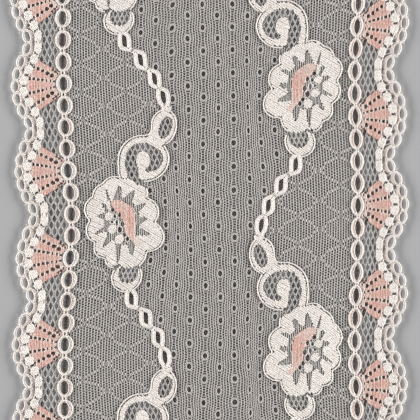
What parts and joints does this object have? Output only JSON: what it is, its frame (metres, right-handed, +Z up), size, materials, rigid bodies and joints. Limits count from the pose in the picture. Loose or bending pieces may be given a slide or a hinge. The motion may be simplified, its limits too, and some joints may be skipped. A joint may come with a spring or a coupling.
{
  "type": "stretch lace trim",
  "caption": "Flat cut length of stretch lace trim, scalloped on both edges, with picot loops, pink fans, beading eyelets, an eyelet net and flower vines with scrolls and chains.",
  "frame": {"origin": "middle of the strip, on the surface that it lies on", "axes": "+Y along the strip, +X across it to the right, +Z up out of its worked face"},
  "size_m": [0.163, 0.18, 0.0014],
  "materials": {
    "cream_yarn": "soft creamy white knitted yarn with a slight sheen",
    "pink_yarn": "salmon pink inlay yarn with a slight sheen"
  },
  "bodies": {
    "root": {"lace_trim": "cream_yarn"}
  },
  "joints": []
}
